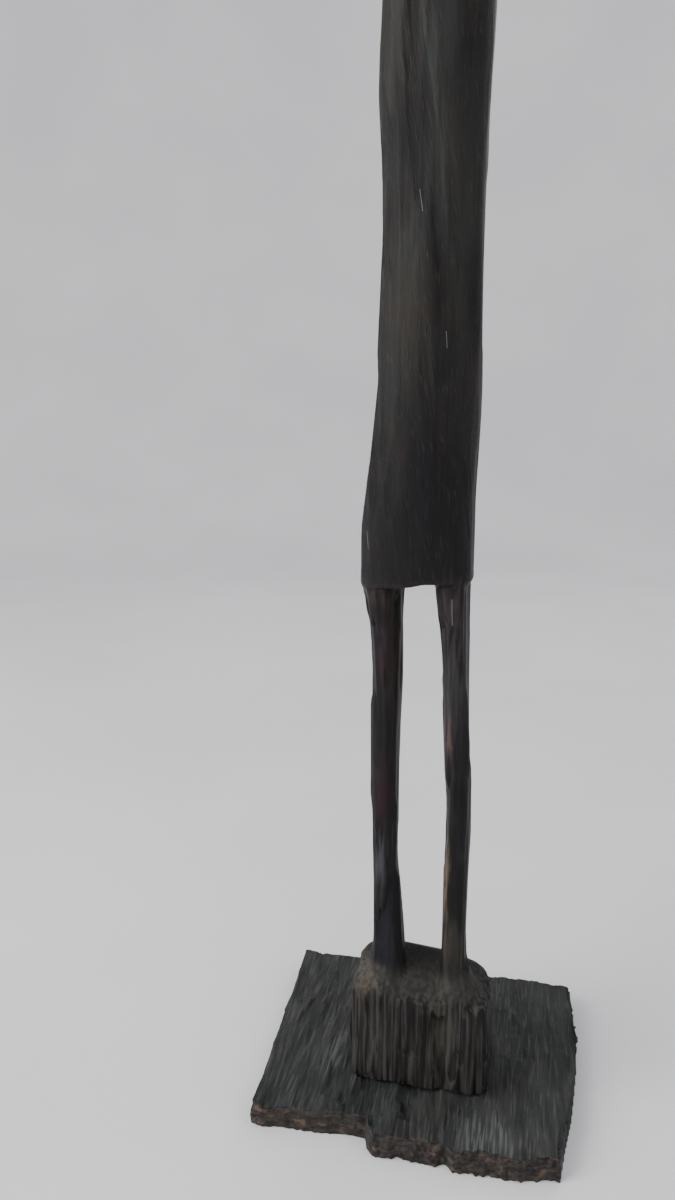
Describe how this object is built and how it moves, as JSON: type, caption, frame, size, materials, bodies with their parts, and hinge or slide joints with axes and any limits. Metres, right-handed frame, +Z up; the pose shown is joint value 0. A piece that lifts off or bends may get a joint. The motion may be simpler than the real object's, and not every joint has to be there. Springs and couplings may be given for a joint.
{
  "type": "wooden figure",
  "caption": "Tall, thin carved standing figure in dark hardwood, on a rough block cut from the same timber and a rough-hewn plinth board.",
  "frame": {"origin": "middle of the plinth board's underside, on the surface that the board stands on", "axes": "+Z up, the figure faces -Y, and +X is to the right of a person who looks at its front"},
  "size_m": [0.2741, 0.242, 1.222],
  "materials": {
    "figure_wood": "satin, dark stained, with rasp and knife marks",
    "plinth_wood": "matte, rough-hewn, dark grey-green, with paler broken wood along the front edge"
  },
  "bodies": {
    "root": {"figure_body": "figure_wood", "figure_legs": "figure_wood", "plinth": "plinth_wood"}
  },
  "joints": []
}
